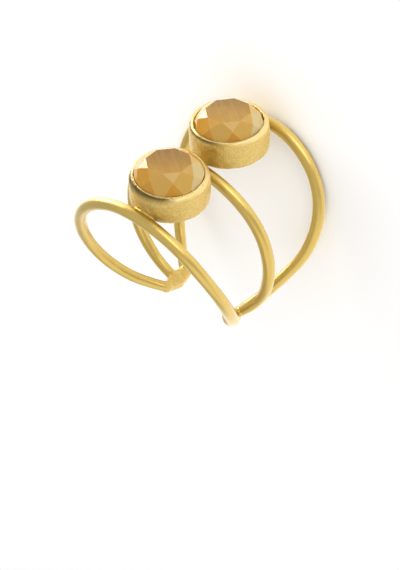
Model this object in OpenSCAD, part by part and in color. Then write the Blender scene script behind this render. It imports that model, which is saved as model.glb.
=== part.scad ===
// Open finger ring of three round wires that carry two cut stones in plain cups.
// The wires start side by side at one soldered end, fan out over the finger and
// come together again at the other end. One cup stands between the front and middle
// wires, the other between the middle and rear wires.

/* [Wires] */
// Radius from the middle of the finger to the middle of a wire
ring_r = 9.7; // [9.5:0.1:10.1]
// Thickness of each round wire
wire_d = 1.4; // [1.35:0.05:1.5]
// How far the front and rear wires fan out, as a share of the photographed spread
fan = 1; // [0.98:0.01:1.02]

/* [Cups] */
// Height of a cup from its flat base to its rim
cup_h = 3.3; // [3.1:0.1:3.5]
// Thickness of a cup's wall at its middle
cup_wall = 0.38; // [0.36:0.02:0.44]
// How far the rim is pushed in over the edge of the stone
rim_lap = 0.16; // [0.13:0.01:0.18]

/* [Stones] */
// Diameter of each round stone
stone_d = 7.9; // [7.9:0.05:8.1]
// Height of the stones' flat tables above the rims of their cups, midway between both
crown_h = 1.65; // [1.55:0.05:1.75]
// Share of the stone's diameter that the table's longer way takes
table_share = 0.64; // [0.6:0.01:0.66]
// Turn of the facets from the table's longer way
facet_turn = 7; // [0:1:44]

/* [Hidden] */

gold = [0.85, 0.68, 0.32];
honey = [0.80, 0.62, 0.34];

wire_r = wire_d / 2;
// Solder bead on the front wire's second tip
bead_r = 1;
// Solder between a cup and a wire
spot_r = 0.45;
// Gap that is left between a stone and the metal round it
fit = 0.04;
// Radius of the opening inside a cup's rim
opening_r = stone_d / 2 - rim_lap;

// Paths of the three wires round the finger. Each row gives an angle from the top of
// the ring, how far along the finger the front, middle and rear wires lie there, and
// how far the rear wire stands out beyond ring_r
ANGLE = 0;
FRONT = 1;
MIDDLE = 2;
REAR = 3;
REAR_OUT = 4;
ROWS = [
    [-159, -1.7, -0.1, 1.3, 0],
    [-135, -4.6, -0.2, 4.2, -0.15],
    [-100, -7.5, -0.1, 7.4, -0.35],
    [-60, -9.5, 0.1, 8.7, -0.2],
    [-20, -10.2, -0.4, 9.4, 0.1],
    [20, -10.2, -0.2, 10.2, 0.4],
    [60, -9.0, 0.2, 9.4, 0.4],
    [100, -6.2, 0.2, 6.6, 0],
    [122, -4.0, 0.2, 3.6, -0.2],
    [141, -1.9, -0.8, 0.4, 0.1],
];
first_a = ROWS[0][ANGLE];
last_a = ROWS[len(ROWS) - 1][ANGLE];

// Where each cup sits: angle from the top of the ring, the wires on both sides of it,
// the angle that its axis leans to round the finger, its lean along the finger, and how
// far its flat base lies inside the middle of the wires
SEAT_A = 0;
SEAT_WIRES = 1;
AXIS_A = 2;
AXIS_LEAN = 3;
BASE_IN = 4;
FRONT_CUP = [4, [FRONT, MIDDLE], 0.4, -1.6, 0.3];
REAR_CUP = [1.8, [MIDDLE, REAR], -4.3, 2.1, 0.15];

// Share of its thickness that a wire loses towards a filed tip, and the angle from the
// top where that starts
thinning = 0.13;
thin_from = 90;

// The round sections along a wire, their corners, and the extra rings of its rounded tip
sections = 60;
corners = 12;
TIP = [30, 60];

// Shares of the stone's radius that place the corners of its facets, the heights of the
// lower ones above the rim, and the turn of the table's longer way in the cup
mid_share = 0.84;
reach_share = 1.09;
pavilion_share = 0.4;
belt_z = -0.98;
pavilion_z = -2.3;
facets = 8;
long_way = 42;

// What sets each hand-cut stone apart: how much higher its table is, the width of its
// table and of its middle corners for a length of 1, and the share of the table's height
// at which those corners lie
MORE_H = 0;
TABLE_WIDE = 1;
MID_WIDE = 2;
MID_UP = 3;
FRONT_CUT = [0.2, 0.8, 0.86, 0.65];
REAR_CUT = [-0.2, 0.89, 0.92, 0.54];

// Angles that lay the ring on its side, and the lift that sets it on the ground
lean_x = -77.9;
lean_y = -1.6;
spin_z = -90;
lay_at = [-2.753, 0.058, 8.68];

// Slope of a wire's place at row i, from the rows on both sides
function slope(i, col) =
    let (lo = max(i - 1, 0), hi = min(i + 1, len(ROWS) - 1))
    (ROWS[hi][col] - ROWS[lo][col]) / (ROWS[hi][ANGLE] - ROWS[lo][ANGLE]);

// Row that starts the stretch of the table that holds angle a
function row_at(a, i = 0) =
    (i == len(ROWS) - 2 || a < ROWS[i + 1][ANGLE]) ? i : row_at(a, i + 1);

// A column of the table at angle a, on a smooth curve through its rows
function column_at(a, col) =
    let (i = row_at(a), h = ROWS[i + 1][ANGLE] - ROWS[i][ANGLE])
    let (u = (a - ROWS[i][ANGLE]) / h, v = 1 - u)
    v * v * (1 + 2 * u) * ROWS[i][col] + u * v * v * h * slope(i, col)
    + u * u * (1 + 2 * v) * ROWS[i + 1][col] - u * u * v * h * slope(i + 1, col);

// Point on the finger's side of the ring at angle a, radius r and place y
function round_finger(a, r, y) = [r * sin(a), y, r * cos(a)];

// Middle of a wire at angle a
function wire_at(a, col) =
    let (out = col == REAR ? column_at(a, REAR_OUT) : 0)
    let (spread = col == MIDDLE ? 1 : fan)
    round_finger(a, ring_r + out, spread * column_at(a, col));

// Radius of a wire at angle a: it thins towards the tips, apart from the front wire's
// second one
function radius_at(a, col) =
    let (filed = col == FRONT ? -a : abs(a))
    wire_r * (1 - thinning * max(0, filed - thin_from) / (last_a - thin_from));

function unit(v) = v / norm(v);

// Direction that a wire runs in at angle a
function run_at(a, col) = unit(wire_at(a + 0.2, col) - wire_at(a - 0.2, col));

// Corners of one round section of radius r, square to the direction run
function section(at, run, out, r) =
    let (side = unit(cross(run, out)), up = cross(side, run))
    [for (j = [0:corners - 1]) let (q = 360 * j / corners) at + r * (cos(q) * up + sin(q) * side)];

// The rings of a rounded tip, from the wire outward. way is 1 past the last section
// and -1 before the first
function tip(a, col, way) =
    [for (q = TIP)
        let (run = run_at(a, col), r = radius_at(a, col))
        section(wire_at(a, col) + way * r * sin(q) * run, run, [sin(a), 0, cos(a)], r * cos(q))];

function reversed(list) = [for (i = [len(list) - 1:-1:0]) list[i]];

// A wire with rounded tips, as one swept solid
module wire(col) {
    body = [for (i = [0:sections])
        let (a = first_a + (last_a - first_a) * i / sections)
        section(wire_at(a, col), run_at(a, col), [sin(a), 0, cos(a)], radius_at(a, col))];
    rings = concat(reversed(tip(first_a, col, -1)), body, tip(last_a, col, 1));
    count = len(rings);
    sides = [for (i = [0:count - 2], j = [0:corners - 1])
        let (k = (j + 1) % corners)
        [i * corners + j, (i + 1) * corners + j, (i + 1) * corners + k, i * corners + k]];
    first_cap = [for (j = [0:corners - 1]) j];
    last_cap = [for (j = [corners - 1:-1:0]) (count - 1) * corners + j];
    polyhedron([for (ring = rings) each ring], concat(sides, [first_cap, last_cap]), convexity = 6);
}

// Solder pad over the wires' tips at angle a: a slab of thickness h that lies round the
// finger, with one round corner for each pair of wire and radius
module end_pad(a, corner_radii, h) {
    hull()
        for (corner = corner_radii)
            translate(wire_at(a, corner[0]))
                rotate([0, a, 0])
                    cylinder(r = corner[1], h = h, center = true, $fn = 32);
}

// Place of a cup along the finger, halfway between the wires on both sides of it
function seat_y(cup) =
    (wire_at(cup[SEAT_A], cup[SEAT_WIRES][0]).y + wire_at(cup[SEAT_A], cup[SEAT_WIRES][1]).y) / 2;

// Stands a cup or a stone on its seat, from the flat base upward
module on_seat(cup)
    translate(round_finger(cup[SEAT_A], ring_r - cup[BASE_IN], seat_y(cup)))
        rotate([-cup[AXIS_LEAN], cup[AXIS_A], 0])
            children();

// Spot of solder that holds a cup's wall to the wire beside it
module solder_spot(cup, col) {
    at = wire_at(cup[SEAT_A], col);
    toward = sign(seat_y(cup) - at.y);
    translate(at + [0, toward * wire_r, 0.2]) sphere(r = spot_r, $fn = 48);
}

// Round cup with a flat base, a sloped ledge under the stone and a rim pushed in over it
module cup() {
    pocket_r = stone_d / 2 + fit;
    outer_r = pocket_r + cup_wall;
    floor_h = 0.5;
    ledge_r = pocket_r - 0.7;
    ledge_h = cup_h - 1.22;
    rotate_extrude($fn = 96)
        polygon([
            [0, 0],
            [outer_r - 0.28, 0],
            [outer_r - 0.08, 0.12],
            [outer_r - 0.02, 0.45],
            [outer_r, 1.2],
            [outer_r - 0.02, cup_h - 0.9],
            [outer_r - 0.08, cup_h - 0.3],
            [outer_r - 0.17, cup_h - 0.08],
            [outer_r - 0.26, cup_h],
            [opening_r + 0.06, cup_h],
            [opening_r, cup_h - 0.06],
            [pocket_r, cup_h - 0.3],
            [pocket_r, ledge_h],
            [ledge_r, ledge_h - 0.34],
            [ledge_r, floor_h],
            [0, floor_h],
        ]);
}

// Corners of one ring of facets, at radius r and height z, turned by t steps. wide is the
// ring's width for a length of 1
function facet_ring(r, z, t, wide = 1) =
    [for (k = [0:facets - 1]) let (q = (k + t) * 360 / facets + facet_turn)
        [r * cos(q), wide * r * sin(q), z]];

// Point p, moved up or down into the plane through the points a, b and c
function into_plane(p, a, b, c) =
    let (n = cross(b - a, c - a))
    [p.x, p.y, a.z - (n.x * (p.x - a.x) + n.y * (p.y - a.y)) / n.z];

// Stone with an eight-sided table, eight star facets, eight kites, eight triangles at
// the edge, and eight facets below. It narrows to the rim's opening above its girdle.
// Heights run from the rim of the cup
module stone(cut) {
    girdle_r = stone_d / 2;
    reach_r = reach_share * girdle_r;
    crown = crown_h + cut[MORE_H];
    tops = facet_ring(table_share * girdle_r, crown, 0.5, cut[TABLE_WIDE]);
    mids = facet_ring(mid_share * girdle_r, cut[MID_UP] * crown, 1, cut[MID_WIDE]);
    belts = facet_ring(reach_r, belt_z, 0.5);
    kites = [for (n = [0:facets - 1])
        into_plane(belts[n], tops[n], mids[(n + facets - 1) % facets], mids[n])];
    pavilions = facet_ring(pavilion_share * girdle_r, pavilion_z, 0.5);
    top = 0;
    mid = facets;
    kite = 2 * facets;
    belt = 3 * facets;
    below = 4 * facets;
    sides = [for (k = [0:facets - 1]) let (n = (k + 1) % facets) each [
        [top + k, top + n, mid + k],
        [top + n, mid + n, kite + n, mid + k],
        [mid + k, kite + n, kite + k],
        [kite + k, kite + n, belt + n, belt + k],
        [belt + k, belt + n, below + n, below + k],
    ]];
    flat_top = [for (k = [facets - 1:-1:0]) top + k];
    flat_bottom = [for (k = [0:facets - 1]) below + k];
    translate([0, 0, cup_h])
        intersection() {
            rotate([0, 0, long_way])
                polyhedron(
                    concat(tops, mids, kites, belts, pavilions),
                    concat(sides, [flat_top, flat_bottom]),
                    convexity = 2
                );
            rotate_extrude($fn = 96)
                polygon([
                    [0, -3],
                    [girdle_r, -3],
                    [girdle_r, -0.36],
                    [opening_r - fit, -0.1],
                    [opening_r - fit, 3],
                    [0, 3],
                ]);
        }
}

// Lays the whole ring on its side on the ground, over the origin
module lying()
    translate(lay_at) rotate([0, 0, spin_z]) rotate([lean_x, lean_y, 0]) children();

module soldered_frame()
    color(gold)
        lying() {
            for (col = [FRONT, MIDDLE, REAR]) wire(col);
            end_pad(first_a, [[FRONT, 0.5], [MIDDLE, 0.9], [REAR, 0.65]], 1.2);
            end_pad(last_a, [[MIDDLE, 0.5], [REAR, 0.5]], 1);
            translate(wire_at(last_a, FRONT)) sphere(r = bead_r, $fn = 64);
            for (cup = [FRONT_CUP, REAR_CUP]) {
                on_seat(cup) cup();
                for (col = cup[SEAT_WIRES]) solder_spot(cup, col);
            }
        }

module front_stone()
    color(honey) lying() on_seat(FRONT_CUP) stone(FRONT_CUT);

module rear_stone()
    color(honey) lying() on_seat(REAR_CUP) stone(REAR_CUT);

soldered_frame();
front_stone();
rear_stone();
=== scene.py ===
"""Open finger ring of three round wires, with a cut stone in a plain cup between each
pair of neighbouring wires. It lies on its side, on the rear wire.

The wires, the cups and the solder are one skin round the same paths as the solids, so
that the solder runs softly from one to the next. Sizes in this file are in millimetres
in the ring's worn place, with Z up through the stones and Y along the finger, until
laid() puts them where the solids are, in metres. The panel's lengths and the floor's
are in metres from the start."""

import itertools
import math
from typing import NamedTuple

import bmesh
import bpy
import numpy as np
from mathutils import Matrix, Vector


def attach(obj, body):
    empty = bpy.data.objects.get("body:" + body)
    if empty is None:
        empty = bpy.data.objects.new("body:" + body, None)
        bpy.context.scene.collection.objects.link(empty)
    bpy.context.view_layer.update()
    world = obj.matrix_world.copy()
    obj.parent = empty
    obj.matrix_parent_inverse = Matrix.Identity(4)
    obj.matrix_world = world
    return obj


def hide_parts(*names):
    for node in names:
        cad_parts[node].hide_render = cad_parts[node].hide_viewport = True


bl_info = {
    "name": "Open wire ring with two stones",
    "version": (1, 0, 0),
    "blender": (4, 5, 0),
    "location": "3D View > Sidebar > Ring",
    "description": "Makes a wire ring with two cup-set stones, and a plain stage for it",
    "category": "Object",
}

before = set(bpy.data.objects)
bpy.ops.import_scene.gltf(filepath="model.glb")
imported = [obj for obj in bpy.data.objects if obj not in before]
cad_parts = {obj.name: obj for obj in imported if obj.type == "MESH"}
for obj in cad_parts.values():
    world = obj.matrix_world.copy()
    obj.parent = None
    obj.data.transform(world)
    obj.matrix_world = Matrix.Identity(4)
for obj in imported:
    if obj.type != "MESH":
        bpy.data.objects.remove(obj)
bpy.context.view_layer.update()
MM = 0.001

# The ring, as in the part's solids
RING_R = 9.7
BEAD_R = 1.0
STONE_D = 7.9
CUP_H = 3.3
CUP_FLOOR = 0.5
FIT = 0.04
THINNING = 0.13
THIN_FROM = 90.0

# Paths of the wires round the finger: angle from the top, how far along the finger the
# front, middle and rear wires lie, and how far the rear wire stands out
ANGLE, FRONT, MIDDLE, REAR, REAR_OUT = range(5)
PATHS = np.array([
    (-159, -1.7, -0.1, 1.3, 0),
    (-135, -4.6, -0.2, 4.2, -0.15),
    (-100, -7.5, -0.1, 7.4, -0.35),
    (-60, -9.5, 0.1, 8.7, -0.2),
    (-20, -10.2, -0.4, 9.4, 0.1),
    (20, -10.2, -0.2, 10.2, 0.4),
    (60, -9.0, 0.2, 9.4, 0.4),
    (100, -6.2, 0.2, 6.6, 0),
    (122, -4.0, 0.2, 3.6, -0.2),
    (141, -1.9, -0.8, 0.4, 0.1),
])
FIRST, LAST = PATHS[0, ANGLE], PATHS[-1, ANGLE]

# Steps along each wire, and the share by which its radius is uneven
WIRE_STEPS = 1500
WIRE_UNEVEN = 0.012


class Seat(NamedTuple):
    """Where a cup sits: the angle of its seat round the finger, the wires beside it, the
    angle and lean of its axis, and how far its base lies inside the wires' middle."""

    angle: float
    wires: tuple
    axis: float
    lean: float
    base_in: float


SEATS = {
    "front": Seat(angle=4.0, wires=(FRONT, MIDDLE), axis=0.4, lean=-1.6, base_in=0.3),
    "rear": Seat(angle=1.8, wires=(MIDDLE, REAR), axis=-4.3, lean=2.1, base_in=0.15),
}


class Rim(NamedTuple):
    """How a rim was pushed over its stone: how far its shoulder leans in, the middle and
    half of the angles that this spans, the depth of the painted shade in the crease under
    its lip, how far, where and how widely the tool left a flat, the height of the lip, and
    the seed of its unevenness."""

    lean: float
    lean_at: float
    lean_half: float
    crease: float
    flat: float
    flat_at: float
    flat_half: float
    lip: float
    seed: int


RIMS = {
    "front": Rim(
        lean=0.22, lean_at=261, lean_half=50, crease=1.0,
        flat=0.22, flat_at=2, flat_half=50, lip=0.16, seed=45),
    "rear": Rim(
        lean=0.16, lean_at=252, lean_half=42, crease=0.55,
        flat=0.18, flat_at=8, flat_half=46, lip=0.02, seed=44),
}


class Cut(NamedTuple):
    """Form of a hand-cut stone: height of its table over the rim, width of its table and
    of its middle corners for a length of 1, and share of the height of those corners."""

    crown: float
    table_wide: float
    mid_wide: float
    mid_up: float


CUTS = {
    "front": Cut(crown=1.85, table_wide=0.8, mid_wide=0.86, mid_up=0.65),
    "rear": Cut(crown=1.45, table_wide=0.89, mid_wide=0.92, mid_up=0.54),
}

# Facets of both stones, as in the part's solids: how many are in a ring, their turn, the
# way in which the stones are long, radii as shares of the stone's, and heights over the rim
FACETS = 8
FACET_TURN = 7.0
LONG_WAY = 42.0
TABLE_SHARE = 0.64
MID_SHARE = 0.84
REACH_SHARE = 1.09
PAVILION_SHARE = 0.4
BELT_Z = -0.98
PAVILION_Z = -2.3

# The round neck of each stone in its rim: how many sides it has, how far under the rim
# it starts to widen and has its full width, and how far the lower end of the belt rises
# as it widens, so that the facets below keep their slope
NECK_SIDES = 72
WIDEN_FROM = 0.1
WIDEN_TO = 0.5
BELT_RISE = 0.09

# Sides of a stone, in degrees from its cup's own X: the far one, which is browner and
# toward which the fibres run, and those whose facets get a painted light and a painted
# shade
FAR_SIDE = 132.0
LIT_SIDE = 17.0
SHADED_SIDE = 245.0

# Solder: the bar that joins two tips, a spot between a cup and a wire and how far that
# lies over the wire's middle, and half the pad's thickness and its reach at each wire
BAR_R = 0.5
SPOT_R = 0.42
SPOT_UP = 0.2
PAD_HALF = 0.52
PAD_REACH = (0.48, 0.92, 0.66)

# Width of the fillet where each of these meets the metal, and of the pad's worn edge
WIRE_FILLET = 0.16
BEAD_FILLET = 0.3
BAR_FILLET = 0.2
PAD_FILLET = 0.18
SPOT_FILLET = 0.25
PAD_EDGE = 0.22

# Radii between which a rim's lip lies
LIP_IN = 3.6
LIP_OUT = 4.02

SKIN_LOW = (-11.3, -11.9, -11.1)
SKIN_HIGH = (11.6, 12.0, 13.3)
ROUGH = 4
JUST_SOLID = -1e-4
EVEN_ROUNDS = 3

# Corners of a square, in turn
SQUARE = ((0, 0), (1, 0), (1, 1), (0, 1))

# The lying place of the ring
LEAN_X, LEAN_Y, SPIN_Z = -77.9, -1.6, -90.0
LAY_AT = np.array([-2.753, 0.058, 8.68])

# The camera: its turn round the ring and height over it in the worn place, its roll, its
# distance in millimetres, the picture's scale at the ring, its size in pixels, where
# the ring's middle is in it, and the width of the sensor
VIEW_TURN, VIEW_HEIGHT, VIEW_ROLL = 41.98, 42.54, -1.09
VIEW_FAR = 436.5
PIXELS_PER_MM = 9.18
PICTURE = (400, 570)
MIDDLE_AT = (199.8, 232.7)
SENSOR = 36

# The floor's half width, in metres, and the strength of the white surroundings
FLOOR_HALF = 3.0
WORLD_STRENGTH = 0.82


class SoftLight(NamedTuple):
    """Oval light: how far it stands to the right, up and toward the camera from the
    ring's middle, its width and its height, all in millimetres, and its power. It faces
    the ring's middle or, as a card on the floor does, straight up."""

    name: str
    right: float
    up: float
    toward: float
    width: float
    height: float
    power: float
    faces_up: bool = False


LIGHTS = (
    SoftLight("Top light", -440, -245, 485, 1500, 1500, 0.8),
    SoftLight("Front light", 143, -645, 230, 1000, 1000, 1.6),
    SoftLight("Upper panel", 210, 302, 597, 500, 500, 1.5),
    SoftLight("Side panel", -51.3, 56.8, -10.1, 44, 34, 0.04),
    SoftLight("Bounce card", 5.1, 3, -5.7, 250, 250, 0.09, faces_up=True),
)


def turn(x=0.0, y=0.0, z=0.0):
    """Rotation by x, then y, then z, in degrees."""
    turned = Matrix.Identity(3)
    for angle, axis in ((x, "X"), (y, "Y"), (z, "Z")):
        turned = Matrix.Rotation(math.radians(angle), 3, axis) @ turned
    return np.array(turned)


LYING = turn(z=SPIN_Z) @ turn(x=LEAN_X, y=LEAN_Y)


def laid(points):
    """Puts worn points, in millimetres, where the solids lie, in metres."""
    return (np.asarray(points, float) @ LYING.T + LAY_AT) * MM


def rise(value, from_here, to_here):
    """0 at the first value and beyond it, 1 at the second, and straight between."""
    return np.clip((value - from_here) / (to_here - from_here), 0, 1)


def smooth(share):
    """Lets a straight rise from 0 to 1 start and end softly."""
    return share * share * (3 - 2 * share)


def along(angle, column):
    """One column of PATHS at each angle, on a smooth curve through its rows."""
    at, value = PATHS[:, ANGLE], PATHS[:, column]
    slope = np.gradient(value, at)
    slope[1:-1] = (value[2:] - value[:-2]) / (at[2:] - at[:-2])
    row = np.clip(np.searchsorted(at, angle, side="right") - 1, 0, len(at) - 2)
    step = at[row + 1] - at[row]
    u = (angle - at[row]) / step
    v = 1 - u
    return (
        v * v * (1 + 2 * u) * value[row]
        + u * v * v * step * slope[row]
        + u * u * (1 + 2 * v) * value[row + 1]
        - u * u * v * step * slope[row + 1]
    )


def wire_at(angle, column):
    """Middle of a wire at each angle."""
    angle = np.asarray(angle, float)
    out = along(angle, REAR_OUT) if column == REAR else 0
    r = RING_R + out
    a = np.radians(angle)
    return np.stack([r * np.sin(a), along(angle, column), r * np.cos(a)], -1)


def wire_radius(angle, column, thickness):
    """Radius of a wire at each angle: it thins towards its filed tips."""
    filed = -angle if column == FRONT else np.abs(angle)
    thin = THINNING * np.clip(filed - THIN_FROM, 0, None) / (LAST - THIN_FROM)
    return thickness / 2 * (1 - thin)


def seat(name):
    """Place and turn of a cup's base, from its own axes to the worn ring."""
    at = SEATS[name]
    y = sum(float(along(np.array(at.angle), wire)) for wire in at.wires) / 2
    a = math.radians(at.angle)
    r = RING_R - at.base_in
    return np.array([r * math.sin(a), y, r * math.cos(a)]), turn(x=-at.lean, y=at.axis)


def ripple(points, length, seed, waves):
    """Smooth uneven field from about -1 to 1, with waves of about the given length."""
    rng = np.random.default_rng(seed)
    field = np.zeros(len(points))
    for _ in range(waves):
        way = rng.normal(size=3)
        way *= 2 * math.pi / (length * rng.uniform(0.7, 1.5) * np.linalg.norm(way))
        field += np.sin(points @ way + rng.uniform(0, 2 * math.pi))
    return field / math.sqrt(waves)


def soft_min(a, b, blend):
    """Lower of two distances, with a fillet where they meet."""
    h = np.clip(blend - np.abs(a - b), 0, None) / blend
    return np.minimum(a, b) - h * h * blend / 4


def soft_max(a, b, blend):
    """Higher of two distances, with a worn edge where they meet."""
    return -soft_min(-a, -b, blend)


def wire_distance(points, column, thickness):
    """Distance from each point to the surface of a round, slightly uneven wire."""
    angles = np.linspace(FIRST, LAST, WIRE_STEPS + 1)
    middle = wire_at(angles, column)
    run = np.gradient(middle, angles, axis=0)
    radius = wire_radius(angles, column, thickness)
    radius *= 1 + WIRE_UNEVEN * ripple(middle, length=5.0, seed=30 + column, waves=7)

    def read(rows, at):
        return np.stack([np.interp(at, angles, rows[:, k]) for k in range(3)], -1)

    # The angle of the nearest point on the wire's middle, closer with each round
    at = np.degrees(np.arctan2(points[:, 0], points[:, 2]))
    at = np.clip(at, FIRST, LAST)
    for _ in range(4):
        way = read(run, at)
        ahead = np.einsum("ij,ij->i", points - read(middle, at), way)
        at = np.clip(at + ahead / np.einsum("ij,ij->i", way, way), FIRST, LAST)
    off = np.linalg.norm(points - read(middle, at), axis=1)
    return off - np.interp(at, angles, radius)


def outline_distance(x, y, corners):
    """Distance from each point of a plane to a closed outline, negative inside it."""
    best = np.full(x.shape, 1e9)
    inside = np.zeros(x.shape, bool)
    for (ax, ay), (bx, by) in zip(corners, corners[1:] + corners[:1]):
        ex, ey = bx - ax, by - ay
        t = np.clip(((x - ax) * ex + (y - ay) * ey) / (ex * ex + ey * ey), 0, 1)
        best = np.minimum(best, (x - ax - t * ex) ** 2 + (y - ay - t * ey) ** 2)
        if ey:
            crosses = ((ay > y) != (by > y)) & (x < ax + ex * (y - ay) / ey)
            inside ^= crosses
    return np.where(inside, -1, 1) * np.sqrt(best)


def cup_outline(wall, lap, lip):
    """Half section of a cup: radius and height of its corners, up its outer side, over
    the rim and down its inner side. lip is how far the thin lip stands over the rim."""
    pocket = STONE_D / 2 + FIT
    outer = pocket + wall
    opening = STONE_D / 2 - lap - 0.03
    ledge = pocket - 0.7
    return [
        (-1, 0),
        (outer - 0.28, 0),
        (outer - 0.08, 0.12),
        (outer - 0.02, 0.45),
        (outer, 1.2),
        (outer - 0.02, CUP_H - 0.9),
        (outer - 0.06, CUP_H - 0.36),
        (outer - 0.13, CUP_H - 0.13),
        (outer - 0.19, CUP_H - 0.05),
        (opening + 0.24, CUP_H + max(lip - 0.16, -0.04)),
        (opening + 0.22, CUP_H + lip - 0.05),
        (opening + 0.12, CUP_H + lip),
        (opening + 0.04, CUP_H + lip - 0.02),
        (opening, CUP_H + lip - 0.09),
        (pocket, CUP_H - 0.42),
        (pocket, CUP_H - 1.22),
        (ledge, CUP_H - 1.56),
        (ledge, CUP_FLOOR),
        (-1, CUP_FLOOR),
    ]


def span(angle, middle, half):
    """1 inside a stretch round the cup, 0 outside it, and soft at its ends."""
    off = np.abs((angle - middle + 180) % 360 - 180)
    return smooth(rise(off, half + 12, half - 12))


def wobble(angle, seed):
    """Uneven line round a cup, from about -1 to 1."""
    rng = np.random.default_rng(seed)
    line = np.zeros(len(angle))
    for waves in (2, 3, 5, 8, 13):
        line += np.sin(np.radians(waves * angle) + rng.uniform(0, 6.28)) / math.sqrt(waves)
    return line / 1.6


def crease_shade_share(rim, angle, height):
    """Painted shade in the crease under a rim's lip: 1 in the crease, fading to 0 above and
    below it. Heights are over the rim."""
    # Height over the darkest line, which lies at the foot of the lip
    up = height + 0.13 - 0.95 * rim.lip + 0.02 * wobble(angle, rim.seed)

    # The same as a share of the crease's depth, which is more at its start than its end
    deep = up / rim.crease
    deep -= 0.22 * np.clip((angle % 360 - rim.lean_at) / rim.lean_half, -1, 1) * (up < 0)

    # Sharp toward the lip, and slow to fade down the shoulder
    above = np.exp(-(deep * rim.crease / 0.05) ** 2)
    share = np.where(deep > 0, above, rise(deep, -0.9, 0) ** 1.6)
    return np.clip(1.5 * span(angle, rim.lean_at, rim.lean_half) * share, 0, 1)


class CupPoints(NamedTuple):
    """Points as one cup sees them: distance from its axis, angle round it, and height over
    its rim."""

    r: np.ndarray
    angle: np.ndarray
    height: np.ndarray


def cup_points(points, name):
    """The same points as a cup sees them."""
    place, axes = seat(name)
    x, y, z = ((points - place) @ axes).T
    return CupPoints(np.hypot(x, y), np.degrees(np.arctan2(y, x)), z - CUP_H)


def cup_distance(near, rim, corners):
    """Distance to a cup whose rim was pushed over its stone by hand."""
    # The shoulder leans in, and the tool left a flat on it
    lean = smooth(rise(near.height + 0.06 * wobble(near.angle, rim.seed), -0.6, -0.15))
    lean *= rim.lean * span(near.angle, rim.lean_at, rim.lean_half)
    flat = rise(near.height + 0.08 * wobble(near.angle, rim.seed + 1), -0.4, 0)
    flat *= rim.flat * span(near.angle, rim.flat_at, rim.flat_half)

    # Both move only the outer side, and the whole lip is a little uneven
    shift = (lean + flat) * rise(near.r - STONE_D / 2, -0.02, 0.23)
    lip = rise(near.height, -0.5, -0.1)
    shift += 0.022 * wobble(near.angle, rim.seed + 2) * lip
    tall = near.height + CUP_H + 0.03 * wobble(near.angle, rim.seed + 3) * lip
    return outline_distance(near.r + shift, tall, corners)


def bead_distance(points):
    """Distance to the ball at the second end of the front wire."""
    return np.linalg.norm(points - wire_at(LAST, FRONT), axis=1) - BEAD_R


def bar_distance(points):
    """Distance to the solder that joins the second ends of the middle and rear wires."""
    start = wire_at(LAST, MIDDLE)
    bar = wire_at(LAST, REAR) - start
    t = np.clip((points - start) @ bar / (bar @ bar), 0, 1)
    return np.linalg.norm(points - start - t[:, None] * bar, axis=1) - BAR_R


def pad_distance(points):
    """Distance to the flattened pad of solder that joins the three first tips."""
    y = points[:, 1]
    out = np.hypot(points[:, 0], points[:, 2]) - RING_R
    angle = np.degrees(np.arctan2(points[:, 0], points[:, 2]))
    arc = np.radians(((angle - FIRST + 180) % 360) - 180) * RING_R
    tips = [float(wire_at(FIRST, wire)[1]) for wire in (FRONT, MIDDLE, REAR)]
    on = np.clip(y, tips[0], tips[2])
    flat = np.hypot(arc, y - on) - np.interp(on, tips, PAD_REACH)
    return soft_max(flat, np.abs(out) - PAD_HALF, PAD_EDGE)


def solder_spots(name, thickness):
    """Middles of the spots of solder between a cup and the wires beside it."""
    spots = []
    for wire in SEATS[name].wires:
        at = wire_at(SEATS[name].angle, wire)
        toward = np.sign(seat(name)[0][1] - at[1])
        spots.append(at + np.array([0, toward * thickness / 2, SPOT_UP]))
    return spots


class Skin:
    """Distance field of the metal, and the masks that its finish needs."""

    def __init__(self, sizes):
        wall, lap = sizes.cup_wall / MM, sizes.rim_lap / MM
        self.wire_d = sizes.wire_d / MM
        self.fillet = sizes.solder_fillet / MM
        self.corners = {name: cup_outline(wall, lap, RIMS[name].lip) for name in SEATS}

    def distance(self, points):
        """Distance from each point to the surface of the metal, negative inside it."""
        metal = wire_distance(points, FRONT, self.wire_d)
        for wire in (MIDDLE, REAR):
            metal = soft_min(metal, wire_distance(points, wire, self.wire_d), WIRE_FILLET)
        metal = soft_min(metal, bead_distance(points), BEAD_FILLET)
        metal = soft_min(metal, bar_distance(points), BAR_FILLET)
        metal = soft_min(metal, pad_distance(points), PAD_FILLET)
        for name in SEATS:
            for spot in solder_spots(name, self.wire_d):
                drop = np.linalg.norm(points - spot, axis=1) - SPOT_R
                metal = soft_min(metal, drop, SPOT_FILLET)
            cup = cup_distance(cup_points(points, name), RIMS[name], self.corners[name])
            metal = soft_min(metal, cup, self.fillet)
        return metal

    def masks(self, points):
        """Shares of cup wall, rim, solder and painted shade in the crease at each point."""
        share = {name: np.zeros(len(points)) for name in ("wall", "rim", "solder", "crease")}

        def mark(mask, values):
            share[mask] = np.maximum(share[mask], values)

        for name, rim in RIMS.items():
            near = cup_points(points, name)
            off = np.abs(cup_distance(near, rim, self.corners[name]))
            on_cup = rise(off, 0.12, 0)
            mark("wall", on_cup * rise(near.height, -0.12, -0.32))
            lip = rise(near.height - rim.lip, -0.14, -0.1) * (near.r < LIP_OUT)
            flat = rise(near.height, -0.4, -0.32)
            flat *= span(near.angle, rim.flat_at, rim.flat_half)
            mark("rim", on_cup * np.maximum(lip, flat) * (near.r > LIP_IN))
            # Painted shade in the crease under the lip
            mark("crease", rise(off, 0.2, 0) * crease_shade_share(rim, near.angle, near.height))
        mark("solder", rise(np.abs(bead_distance(points)), 0.15, 0))
        mark("solder", rise(np.abs(pad_distance(points)), 0.15, 0))
        return share


def slope_of(field, points):
    """Slope of a distance field at each point."""
    step = 0.02
    slope = np.empty_like(points)
    for k in range(3):
        way = np.zeros(3)
        way[k] = step
        slope[:, k] = (field(points + way) - field(points - way)) / (2 * step)
    return slope


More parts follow.
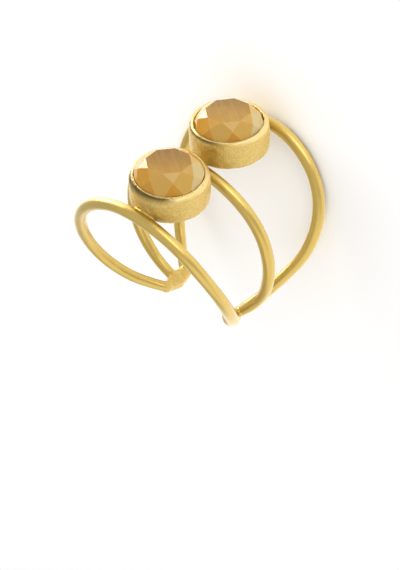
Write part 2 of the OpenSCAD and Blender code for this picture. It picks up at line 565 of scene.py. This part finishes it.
def sampled(field, low, count, cell):
    """Distances on a grid. Those far from the surface come from a rough grid, and only
    tell inside from outside."""
    rough = ROUGH * cell
    steps = [low[k] + (np.arange(count[k] // ROUGH) + 0.5) * rough for k in range(3)]
    grid = np.stack(np.meshgrid(*steps, indexing="ij"), -1).reshape(-1, 3)
    value = field(grid).reshape(count // ROUGH).astype(np.float32)
    for k in range(3):
        value = np.repeat(value, ROUGH, axis=k)
    near = np.argwhere(np.abs(value) < 1.15 * rough)
    value[tuple(near.T)] = field(low + (near + 0.5) * cell)
    return value


def part_diagonals(value):
    """Makes one more corner solid in each square of a grid that has only two opposite
    corners solid, so that no edge of its skin is shared by four faces."""
    found = True
    while found:
        found = False
        for one, two in ((0, 1), (0, 2), (1, 2)):
            part = []
            for i, j in SQUARE:
                where = [np.s_[:]] * 3
                where[one] = np.s_[1:] if i else np.s_[:-1]
                where[two] = np.s_[1:] if j else np.s_[:-1]
                part.append(value[tuple(where)] < 0)
            a, b, c, d = part
            for at in np.argwhere((a == c) & (b == d) & (a != b)):
                square = []
                for i, j in SQUARE:
                    corner = at.copy()
                    corner[one] += i
                    corner[two] += j
                    square.append(tuple(corner))
                clear = [corner for corner in square if value[corner] >= 0]
                if len(clear) == 2:
                    value[min(clear, key=lambda corner: value[corner])] = JUST_SOLID
                    found = True


def crossed_cells(solid):
    """Cells of a grid that have both solid and clear corners."""
    some = np.zeros(np.array(solid.shape) - 1, bool)
    every = np.ones(np.array(solid.shape) - 1, bool)
    for corner in itertools.product((np.s_[:-1], np.s_[1:]), repeat=3):
        some |= solid[corner]
        every &= solid[corner]
    return np.argwhere(some & ~every)


def surface_points(value, cells):
    """One point in each cell: the mean of where the surface crosses the cell's edges."""
    total = np.zeros((len(cells), 3))
    hits = np.zeros(len(cells))
    for axis in range(3):
        one, two = (k for k in range(3) if k != axis)
        for i, j in itertools.product((0, 1), repeat=2):
            start = cells.copy()
            start[:, one] += i
            start[:, two] += j
            end = start.copy()
            end[:, axis] += 1
            a, b = value[tuple(start.T)], value[tuple(end.T)]
            cross = (a < 0) != (b < 0)
            t = np.where(cross, a / np.where(cross, a - b, 1), 0)
            point = start.astype(float)
            point[:, axis] += t
            total += point * cross[:, None]
            hits += cross
    return total / hits[:, None]


def surface_quads(solid, cells):
    """One quad between the four cells round each grid edge that the surface crosses."""
    number = np.full(np.array(solid.shape) - 1, -1)
    number[tuple(cells.T)] = np.arange(len(cells))
    quads = []
    for axis in range(3):
        one, two = (axis + 1) % 3, (axis + 2) % 3
        first = [np.s_[1:-1]] * 3
        first[axis] = np.s_[:-1]
        second = list(first)
        second[axis] = np.s_[1:]
        a, b = solid[tuple(first)], solid[tuple(second)]
        for way in (True, False):
            at = np.argwhere((a != b) & (a == way))
            ring = []
            for i, j in SQUARE:
                cell = at.copy()
                cell[:, one] += i
                cell[:, two] += j
                ring.append(number[tuple(cell.T)])
            quad = np.stack(ring, 1)
            quads.append(quad if way else quad[:, ::-1])
    return np.concatenate(quads)


def skin_over(field, low, high, cell):
    """Closed skin of quads where a distance field is zero."""
    low = np.array(low, float)
    count = np.ceil((np.array(high) - low) / cell).astype(int)
    count = (count // ROUGH + 1) * ROUGH
    value = sampled(field, low, count, cell)
    part_diagonals(value)
    solid = value < 0
    cells = crossed_cells(solid)
    points = low + (surface_points(value, cells) + 0.5) * cell
    return points, surface_quads(solid, cells)


def drop_to(field, points):
    """Moves points near a distance field's surface onto it."""
    slope = slope_of(field, points)
    size = np.clip(np.einsum("ij,ij->i", slope, slope), 0.2, None)
    return points - slope * np.clip(field(points) / size, -0.1, 0.1)[:, None]


def settle(field, points, quads):
    """Evens out the corners of a skin while it stays on the surface."""
    edges = np.concatenate([quads[:, [k, (k + 1) % 4]] for k in range(4)])
    count = np.bincount(edges.ravel(), minlength=len(points))
    for _ in range(EVEN_ROUNDS):
        total = np.zeros_like(points)
        for k in range(3):
            total[:, k] = np.bincount(edges[:, 0], points[edges[:, 1], k], len(points))
            total[:, k] += np.bincount(edges[:, 1], points[edges[:, 0], k], len(points))
        points = points + 0.5 * (total / count[:, None] - points)
        points = drop_to(field, points)
    return drop_to(field, points)


def hammered(points, share):
    """How far the small dents and lumps of the metal stand out at each point: most on
    cups and solder, less on the rims, and a little everywhere."""
    struck = np.clip(share["wall"] + share["solder"], 0, 1)
    out = 0.009 * ripple(points, length=1.3, seed=5, waves=12) * struck
    out += 0.018 * ripple(points, length=0.7, seed=8, waves=24) * struck
    out += 0.004 * ripple(points, length=1.4, seed=6, waves=12) * share["rim"]
    out += 0.006 * ripple(points, length=2.4, seed=7, waves=12)
    return out


def mesh_object(name, points, faces, smooth_shaded):
    """New object in the ring's lying place, from worn points."""
    mesh = bpy.data.meshes.new(name)
    mesh.from_pydata(laid(points).tolist(), [], [list(map(int, f)) for f in faces])
    mesh.polygons.foreach_set("use_smooth", [smooth_shaded] * len(mesh.polygons))
    mesh.validate()
    piece = bpy.data.objects.new(name, mesh)
    bpy.context.scene.collection.objects.link(piece)
    return piece


def keep_masks(piece, domain, masks):
    """Stores numbers for each corner point or each face of a piece, for its material."""
    for name, values in masks.items():
        layer = piece.data.attributes.new(name, "FLOAT", domain)
        layer.data.foreach_set("value", np.asarray(values, np.float32))


def facet_ring(r, z, turned, wide=1.0):
    """Corners of a ring of facets, turned by so many steps."""
    angles = np.radians((np.arange(FACETS) + turned) * 360 / FACETS + FACET_TURN)
    return np.stack([r * np.cos(angles), wide * r * np.sin(angles), np.full(FACETS, z)], -1)


def into_plane(point, a, b, c):
    """Moves a point up or down into the plane through three others."""
    n = np.cross(b - a, c - a)
    z = a[2] - (n[0] * (point[0] - a[0]) + n[1] * (point[1] - a[1])) / n[2]
    return np.array([point[0], point[1], z])


def stone_corners(cut):
    """Corners of a stone's facets in the axes of its cup: a table, eight stars, eight
    kites, eight edge triangles and eight facets below lie between them."""
    girdle = STONE_D / 2
    tops = facet_ring(TABLE_SHARE * girdle, cut.crown, 0.5, cut.table_wide)
    mids = facet_ring(MID_SHARE * girdle, cut.mid_up * cut.crown, 1, cut.mid_wide)
    belts = facet_ring(REACH_SHARE * girdle, BELT_Z, 0.5)
    kites = [into_plane(belts[n], tops[n], mids[n - 1], mids[n]) for n in range(FACETS)]
    pavilions = facet_ring(PAVILION_SHARE * girdle, PAVILION_Z, 0.5)
    corners = np.concatenate([tops, mids, kites, belts, pavilions])
    return corners @ turn(z=LONG_WAY).T + np.array([0, 0, CUP_H])


def hull_of(corners):
    """Convex shape through the outermost of some corners, with flat facets left whole."""
    shape = bmesh.new()
    for corner in corners:
        shape.verts.new(corner)
    hull = bmesh.ops.convex_hull(shape, input=shape.verts)
    inner = [v for v in hull["geom_interior"] if isinstance(v, bmesh.types.BMVert)]
    bmesh.ops.delete(shape, geom=inner, context="VERTS")
    bmesh.ops.dissolve_limit(
        shape, angle_limit=0.01, verts=shape.verts, edges=shape.edges)
    return shape


def slice_shape(shape, at, way, keep_both):
    """Cuts a shape with a plane and gives the new edges. Both sides are kept, or only the
    one that the plane looks away from."""
    cut = bmesh.ops.bisect_plane(
        shape, geom=shape.verts[:] + shape.edges[:] + shape.faces[:], dist=1e-5,
        plane_co=at, plane_no=way, clear_outer=not keep_both)
    return [e for e in cut["geom_cut"] if isinstance(e, bmesh.types.BMEdge)]


def crown_edges(shape):
    """Edges between the facets that stand out of the cup."""
    return [
        e for e in shape.edges
        if len(e.link_faces) == 2 and e.calc_face_angle(0) > 0.05
        and min(f.normal.z for f in e.link_faces) > -0.05
        and max(f.normal.z for f in e.link_faces) > 0.1
        and min(v.co.z for v in e.verts) > CUP_H
    ]


def cut_stone(name, rim_lap, facet_edge):
    """Faceted stone with worn edges, as a bmesh in the axes of its cup. It is narrower
    where it comes through the rim."""
    girdle = STONE_D / 2
    neck = girdle - rim_lap - 0.75 * FIT
    shape = hull_of(stone_corners(CUTS[name]))

    # The whole stone is first cut as round as its neck
    for k in range(NECK_SIDES):
        a = 2 * math.pi * k / NECK_SIDES
        way = Vector((math.cos(a), math.sin(a), 0))
        rim = slice_shape(shape, way * neck, way, False)
        if rim:
            bmesh.ops.edgeloop_fill(shape, edges=rim)

    # Under the rim it then widens to its girdle
    for below in (WIDEN_FROM, WIDEN_TO):
        slice_shape(shape, (0, 0, CUP_H - below), (0, 0, 1), True)
    for v in shape.verts:
        under = CUP_H - v.co.z
        if math.hypot(v.co.x, v.co.y) > neck - 0.01 and under > WIDEN_TO - 0.01:
            v.co.x *= girdle / neck
            v.co.y *= girdle / neck
            if under > WIDEN_TO + 0.1:
                v.co.z += BELT_RISE

    # The edges of its crown are worn
    shape.normal_update()
    bmesh.ops.bevel(
        shape, geom=crown_edges(shape), offset=facet_edge, segments=2, profile=0.6,
        affect="EDGES")
    bmesh.ops.recalc_face_normals(shape, faces=shape.faces)
    return shape


def facing(ways, side):
    """1 for faces that look to one side of a stone, in degrees, and 0 for the others."""
    a = math.radians(side)
    share = ways[:, 0] * math.cos(a) + ways[:, 1] * math.sin(a)
    share /= np.hypot(ways[:, 0], ways[:, 1]).clip(0.05)
    return rise(share, 0.83, 0.93)


def facet_masks(ways):
    """Shares of table facets, of painted shade on steep and shaded facets, and of painted
    light on lit facets, from the faces' normals.
    """
    up = ways[:, 2]
    beside = rise(up, 0.72, 0.68)
    lit = facing(ways, LIT_SIDE) * beside * (up > 0.2)
    steep = np.maximum(rise(up, 0.6, 0.55), facing(ways, SHADED_SIDE) * beside)
    return {"table": rise(up, 0.95, 0.98), "steep": steep * (1 - lit), "lit": lit}


def place_masks(points):
    """How far points of a stone lie toward its far side, and where across its fibres."""
    x, y = points[:, 0] / (STONE_D / 2), points[:, 1] / (STONE_D / 2)
    far = math.radians(FAR_SIDE)
    across = x * math.cos(far) + y * math.sin(far)
    beside = x * math.sin(far) - y * math.cos(far)
    return {"across": across, "fibre": beside + 0.25 * across}


class ShaderTree:
    """Short way to add and join nodes."""

    # Where a Mix node has its two inputs and its output, for each kind of value
    MIX_SOCKETS = {"FLOAT": (2, 3, 0), "RGBA": (6, 7, 2)}

    def __init__(self, tree):
        self.tree = tree
        self.step = 0

    def add(self, kind, **values):
        """Adds a node beside the last one."""
        node = self.tree.nodes.new(kind)
        node.location = (-1400 + 200 * (self.step % 8), 300 - 260 * (self.step // 8))
        self.step += 1
        for key, value in values.items():
            setattr(node, key, value)
        return node

    def put(self, node, values):
        """Fills a node's inputs, by name or number. Each value is a node's output, which
        is joined to the input, or else a number or a colour."""
        for name, value in values.items():
            socket = node.inputs[name]
            if isinstance(value, bpy.types.NodeSocket):
                self.tree.links.new(value, socket)
            elif socket.type == "RGBA":
                socket.default_value = (*value, 1)
            else:
                socket.default_value = value

    def math(self, operation, a, b):
        """Result of a sum on two numbers."""
        node = self.add("ShaderNodeMath", operation=operation)
        self.put(node, {0: a, 1: b})
        return node.outputs[0]

    def blend(self, share, a, b, kind="RGBA"):
        """Colour or number between two others: the first at 0 and the second at 1."""
        node = self.add("ShaderNodeMix", data_type=kind)
        first, second, result = self.MIX_SOCKETS[kind]
        self.put(node, {0: share, first: a, second: b})
        return node.outputs[result]

    def ramp(self, value, low, high):
        """0 below low, 1 above high, and smooth between."""
        node = self.add("ShaderNodeMapRange", interpolation_type="SMOOTHSTEP")
        self.put(node, {"Value": value, "From Min": low, "From Max": high})
        return node.outputs["Result"]

    def noise(self, vector, scale, detail, rough):
        """Soft noise from 0 to 1."""
        node = self.add("ShaderNodeTexNoise")
        self.put(node, {
            "Vector": vector, "Scale": scale, "Detail": detail, "Roughness": rough})
        return node.outputs["Fac"]

    def mask(self, name):
        """A piece's own mask."""
        return self.add("ShaderNodeAttribute", attribute_name=name).outputs["Fac"]

    def grain(self, fine, cloud):
        """Fine grain and soft clouds from the shared group, at this material's scales."""
        node = self.add("ShaderNodeGroup", node_tree=grain_group())
        self.put(node, {"Fine Scale": fine, "Cloud Scale": cloud})
        return node.outputs["Fine"], node.outputs["Cloud"]


def grain_group():
    """Node group of fine matt grain and soft clouds, for brushed, sandy and polished
    surfaces, made once."""
    name = "Matt grain"
    if name in bpy.data.node_groups:
        return bpy.data.node_groups[name]
    group = bpy.data.node_groups.new(name, "ShaderNodeTree")
    for label, scale in (("Fine Scale", 9000.0), ("Cloud Scale", 700.0)):
        socket = group.interface.new_socket(
            label, in_out="INPUT", socket_type="NodeSocketFloat")
        socket.default_value = scale
    for label in ("Fine", "Cloud"):
        group.interface.new_socket(label, in_out="OUTPUT", socket_type="NodeSocketFloat")
    tree = ShaderTree(group)
    given = tree.add("NodeGroupInput").outputs
    end = tree.add("NodeGroupOutput")
    place = tree.add("ShaderNodeTexCoord").outputs["Object"]
    fine = tree.noise(place, given["Fine Scale"], 4.0, 0.65)
    cloud = tree.noise(place, given["Cloud Scale"], 3.0, 0.5)
    tree.put(end, {"Fine": fine, "Cloud": cloud})
    return group


def new_material(name):
    """Material with only a Principled shader, and a tree to add to."""
    made = bpy.data.materials.new(name)
    made.use_nodes = True
    made.node_tree.nodes.clear()
    tree = ShaderTree(made.node_tree)
    end = tree.add("ShaderNodeOutputMaterial")
    shader = tree.add("ShaderNodeBsdfPrincipled")
    made.node_tree.links.new(shader.outputs[0], end.inputs[0])
    return made, tree, shader


def satin_gold(look):
    """Warm plated metal: satin wires, sandy walls and solder, and a burnished rim whose
    lighter, paler tone is partly a painted highlight. The crease under each lip gets a
    painted shade.
    """
    made, tree, shader = new_material("Satin gold")
    fine, cloud = tree.grain(fine=6500.0, cloud=700.0)
    rim = tree.mask("rim")
    sandy = tree.math("MAXIMUM", tree.mask("wall"), tree.mask("solder"))
    # Painted shade in the crease under each lip, ragged with the grain
    painted_crease = tree.math("MULTIPLY", tree.mask("crease"), tree.ramp(fine, 0.1, 0.5))
    bare = tree.math("MAXIMUM", painted_crease, rim)

    sand = tree.blend(tree.ramp(fine, 0.35, 0.7), look.sand_deep, look.sand_light)
    base = tree.blend(cloud, look.metal_deep, look.metal_light)
    base = tree.blend(sandy, base, sand)
    # The rim is burnished, and its lighter, paler tone is partly a painted highlight along
    # the lip and flats
    base = tree.blend(rim, base, look.rim)
    base = tree.blend(painted_crease, base, look.crease)

    rough = tree.blend(cloud, 0.28, 0.38, "FLOAT")
    rough = tree.blend(sandy, rough, 0.58, "FLOAT")
    rough = tree.blend(rim, rough, 0.48, "FLOAT")

    height = tree.math("MULTIPLY", fine, tree.blend(sandy, 0.25, 1.0, "FLOAT"))
    bump = tree.add("ShaderNodeBump")
    tree.put(bump, {"Strength": 0.7, "Distance": 0.00004, "Height": height})

    tree.put(shader, {
        "Base Color": base,
        "Roughness": rough,
        "Metallic": 1.0,
        "Coat Weight": tree.blend(bare, 0.4, 0.0, "FLOAT"),
        "Coat Roughness": 0.25,
        "Normal": bump.outputs["Normal"],
    })
    return made


def milky_honey(look):
    """Milky honey stone: browner on its far side, with faint fibres, and polished. Its
    facets get tones by the way they face, which are painted light and shade.
    """
    made, tree, shader = new_material("Milky honey stone")
    fine, cloud = tree.grain(fine=2600.0, cloud=260.0)
    across = tree.mask("across")

    body = tree.blend(tree.ramp(across, -0.6, 0.8), look.stone_gold, look.stone_brown)
    # The facets' tones by the way they face are painted light and shade: the table differs
    # from the facets beside it, steep and shaded facets get a painted shade, and the lit side
    # a painted light
    body = tree.blend(tree.mask("table"), look.stone_side, body)
    body = tree.blend(tree.mask("steep"), body, look.stone_painted_shade)
    body = tree.blend(tree.mask("lit"), body, look.stone_painted_light)

    stretch = tree.add("ShaderNodeCombineXYZ")
    tree.put(stretch, {
        "X": tree.math("MULTIPLY", tree.mask("fibre"), 9.0),
        "Y": tree.math("MULTIPLY", across, 0.8),
    })
    fibres = tree.ramp(tree.noise(stretch.outputs[0], 1.0, 4.0, 0.7), 0.35, 0.75)
    body = tree.blend(tree.math("MULTIPLY", fibres, 0.22), body, look.stone_pale)
    milk = tree.ramp(cloud, 0.35, 0.75)
    body = tree.blend(tree.math("MULTIPLY", milk, 0.15), body, look.stone_pale)

    tree.put(shader, {
        "Base Color": body,
        "Roughness": tree.blend(fine, 0.05, 0.12, "FLOAT"),
        "IOR": 1.42,
        "Subsurface Weight": 0.4,
        "Subsurface Radius": (1.0, 0.5, 0.2),
        "Subsurface Scale": 0.0008,
    })
    return made


def pale_floor(look):
    """Plain matt floor with faint clouds."""
    made, tree, shader = new_material("Pale floor")
    _, cloud = tree.grain(fine=900.0, cloud=6.0)
    base = tree.blend(cloud, look.floor, tuple(0.97 * v for v in look.floor))
    tree.put(shader, {"Base Color": base, "Roughness": 0.6})
    return made


def measure(label, about, default, low, high):
    """Length on the panel, given in millimetres and kept in metres."""
    return bpy.props.FloatProperty(
        name=label, description=about, default=default * MM, min=low * MM,
        max=high * MM, precision=5, subtype="DISTANCE")


def colour(label, about, default):
    """Colour on the panel."""
    return bpy.props.FloatVectorProperty(
        name=label, description=about, default=default, size=3, min=0, max=1,
        subtype="COLOR")


class RingSizes(bpy.types.PropertyGroup):
    """Sizes of the ring."""

    wire_d: measure("Wire", "Thickness of each wire", 1.4, 1.3, 1.5)
    cup_wall: measure("Cup wall", "Thickness of a cup's wall", 0.38, 0.3, 0.45)
    rim_lap: measure("Rim lap", "How far the rim covers the stone", 0.16, 0.1, 0.2)
    solder_fillet: measure("Solder", "Fillet of solder beside a cup", 0.3, 0.1, 0.5)
    facet_edge: measure("Facet edge", "Width of the stone's worn edges", 0.03, 0.01, 0.1)
    skin_cell: measure("Skin cell", "Size of the metal skin's cells", 0.134, 0.13, 0.4)


class RingLook(bpy.types.PropertyGroup):
    """Colours of the ring and of its stage."""

    metal_deep: colour("Metal, deep", "Darker tone of the wires", (0.50, 0.345, 0.078))
    metal_light: colour("Metal, light", "Lighter tone of the wires", (0.57, 0.41, 0.11))
    sand_deep: colour("Sandy, deep", "Darker tone of cups and solder", (0.53, 0.375, 0.1))
    sand_light: colour("Sandy, light", "Lighter tone of cups and solder", (0.70, 0.525, 0.18))
    # The burnished rim's lighter tone is partly a painted highlight
    rim: colour("Rim", "Tone of the burnished rim", (0.66, 0.51, 0.22))
    # Painted shade in the crease under a rim's lip
    crease: colour("Crease", "Dull metal in the crease under a rim", (0.13, 0.085, 0.028))
    # The stones' tones by the way a facet faces are painted light and shade: table, side, a
    # painted shade on steep and shaded facets, and a painted light on the lit side
    stone_gold: colour("Stone, golden", "Near side of a table", (0.33, 0.163, 0.006))
    stone_brown: colour("Stone, brown", "Far side of a table", (0.15, 0.066, 0.007))
    stone_side: colour("Stone, side", "Facets beside a table", (0.465, 0.272, 0.055))
    stone_painted_shade: colour("Stone, deep", "Steep and shaded facets", (0.45, 0.21, 0.01))
    stone_pale: colour("Stone, pale", "Faint fibres in a stone", (0.52, 0.34, 0.075))
    stone_painted_light: colour("Stone, milky", "Side where the light leaves", (0.45, 0.345, 0.15))
    floor: colour("Floor", "Tone of the floor", (0.95, 0.95, 0.95))


class RING_OT_metal(bpy.types.Operator):
    """Make the wires, the cups and the solder as one skin"""

    bl_idname = "ring.metal"
    bl_label = "Wires, cups and solder"

    def execute(self, context):
        sizes, look = context.scene.ring_sizes, context.scene.ring_look
        skin = Skin(sizes)
        cell = sizes.skin_cell / MM
        points, quads = skin_over(skin.distance, SKIN_LOW, SKIN_HIGH, cell)
        points = settle(skin.distance, points, quads)
        masks = skin.masks(points)
        slope = slope_of(skin.distance, points)
        slope /= np.linalg.norm(slope, axis=1)[:, None]
        points = points + slope * hammered(points, masks)[:, None]
        piece = mesh_object("ring_metal", points, quads, True)
        keep_masks(piece, "POINT", masks)
        piece.data.materials.append(satin_gold(look))
        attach(piece, "root")
        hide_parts("soldered_frame")
        return {"FINISHED"}


class RING_OT_stones(bpy.types.Operator):
    """Cut the two stones and set them in their cups"""

    bl_idname = "ring.stones"
    bl_label = "Stones"

    def execute(self, context):
        sizes, look = context.scene.ring_sizes, context.scene.ring_look
        finish = milky_honey(look)
        for name in SEATS:
            place, axes = seat(name)
            shape = cut_stone(name, sizes.rim_lap / MM, sizes.facet_edge / MM)
            shape.verts.ensure_lookup_table()
            points = np.array([v.co[:] for v in shape.verts])
            faces = [[v.index for v in f.verts] for f in shape.faces]
            ways = np.array([f.normal[:] for f in shape.faces])
            shape.free()
            piece = mesh_object(name + "_cut_stone", points @ axes.T + place, faces, False)
            keep_masks(piece, "POINT", place_masks(points))
            keep_masks(piece, "FACE", facet_masks(ways))
            piece.data.materials.append(finish)
            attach(piece, "root")
            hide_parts(name + "_stone")
        return {"FINISHED"}


def picture_axes():
    """Directions to the right, up and toward the camera in the picture, where the ring
    lies."""
    a, e, roll = (math.radians(v) for v in (VIEW_TURN, VIEW_HEIGHT, VIEW_ROLL))
    right = np.array([math.cos(a), math.sin(a), 0])
    ahead = np.array([-math.sin(a), math.cos(a), 0])
    up = math.sin(e) * ahead + math.cos(e) * np.array([0, 0, 1])
    turned = math.cos(roll) * right + math.sin(roll) * up
    upright = -math.sin(roll) * right + math.cos(roll) * up
    toward = np.cross(turned, upright)
    return [Vector(LYING @ way) for way in (turned, upright, toward)]


def add_camera(scene, middle, right, up, toward):
    """Camera that sees the ring at the same angle and place as the photo does."""
    eye = middle + toward * VIEW_FAR * MM
    off_x = (PICTURE[0] / 2 - MIDDLE_AT[0]) / PIXELS_PER_MM * MM
    off_y = (MIDDLE_AT[1] - PICTURE[1] / 2) / PIXELS_PER_MM * MM
    target = middle + right * off_x + up * off_y
    back = (eye - target).normalized()
    side = up.cross(back).normalized()
    lens = bpy.data.cameras.new("Camera")
    lens.sensor_width = SENSOR
    lens.lens = PIXELS_PER_MM * VIEW_FAR / PICTURE[1] * SENSOR
    lens.clip_start = 0.01
    lens.clip_end = 20
    camera = bpy.data.objects.new("Camera", lens)
    axes = Matrix((side, back.cross(side), back)).transposed().to_4x4()
    camera.matrix_world = Matrix.Translation(eye) @ axes
    scene.collection.objects.link(camera)
    scene.camera = camera


def add_floor(scene, look):
    """Square floor at height 0, on which the ring lies."""
    mesh = bpy.data.meshes.new("floor")
    corners = [(FLOOR_HALF * (2 * i - 1), FLOOR_HALF * (2 * j - 1), 0) for i, j in SQUARE]
    mesh.from_pydata(corners, [], [(0, 1, 2, 3)])
    mesh.materials.append(pale_floor(look))
    floor = bpy.data.objects.new("floor", mesh)
    scene.collection.objects.link(floor)


def add_light(scene, light, middle, right, up, toward):
    """One soft light, which the camera doesn't see."""
    lamp = bpy.data.lights.new(light.name, "AREA")
    lamp.shape = "ELLIPSE"
    lamp.size = light.width * MM
    lamp.size_y = light.height * MM
    lamp.energy = light.power
    holder = bpy.data.objects.new(light.name, lamp)
    out = (right * light.right + up * light.up + toward * light.toward) * MM
    back = Vector((0, 0, -1)) if light.faces_up else out
    holder.visible_camera = False
    holder.location = middle + out
    holder.rotation_euler = back.to_track_quat("Z", "Y").to_euler()
    scene.collection.objects.link(holder)


def add_world(scene):
    """White surroundings, shown as they are."""
    world = bpy.data.worlds.new("Studio")
    world.use_nodes = True
    background = world.node_tree.nodes["Background"]
    background.inputs["Color"].default_value = (1, 1, 1, 1)
    background.inputs["Strength"].default_value = WORLD_STRENGTH
    scene.world = world
    scene.view_settings.view_transform = "Standard"


class RING_OT_stage(bpy.types.Operator):
    """Make the floor, the lights and the camera"""

    bl_idname = "ring.stage"
    bl_label = "Floor, lights and camera"

    def execute(self, context):
        scene = context.scene
        axes = picture_axes()
        middle = Vector(laid([0, 0, 0]))
        add_camera(scene, middle, *axes)
        add_floor(scene, scene.ring_look)
        for light in LIGHTS:
            add_light(scene, light, middle, *axes)
        add_world(scene)
        return {"FINISHED"}


class RING_PT_panel(bpy.types.Panel):
    """Sizes, colours and pieces of the ring"""

    bl_label = "Open wire ring"
    bl_space_type = "VIEW_3D"
    bl_region_type = "UI"
    bl_category = "Ring"

    def draw(self, context):
        for group in (context.scene.ring_sizes, context.scene.ring_look):
            for name in group.__annotations__:
                self.layout.prop(group, name)
        for operator in OPERATORS:
            self.layout.operator(operator.bl_idname)


OPERATORS = (RING_OT_metal, RING_OT_stones, RING_OT_stage)
CLASSES = (RingSizes, RingLook, *OPERATORS, RING_PT_panel)


def register():
    """Adds the add-on's classes, and its sizes and colours to each scene."""
    for cls in CLASSES:
        bpy.utils.register_class(cls)
    bpy.types.Scene.ring_sizes = bpy.props.PointerProperty(type=RingSizes)
    bpy.types.Scene.ring_look = bpy.props.PointerProperty(type=RingLook)


def unregister():
    """Takes away what register added."""
    del bpy.types.Scene.ring_sizes
    del bpy.types.Scene.ring_look
    for cls in reversed(CLASSES):
        bpy.utils.unregister_class(cls)


def main():
    """Makes the ring and its stage."""
    register()
    bpy.ops.ring.metal()
    bpy.ops.ring.stones()
    bpy.ops.ring.stage()


if __name__ == "__main__":
    main()
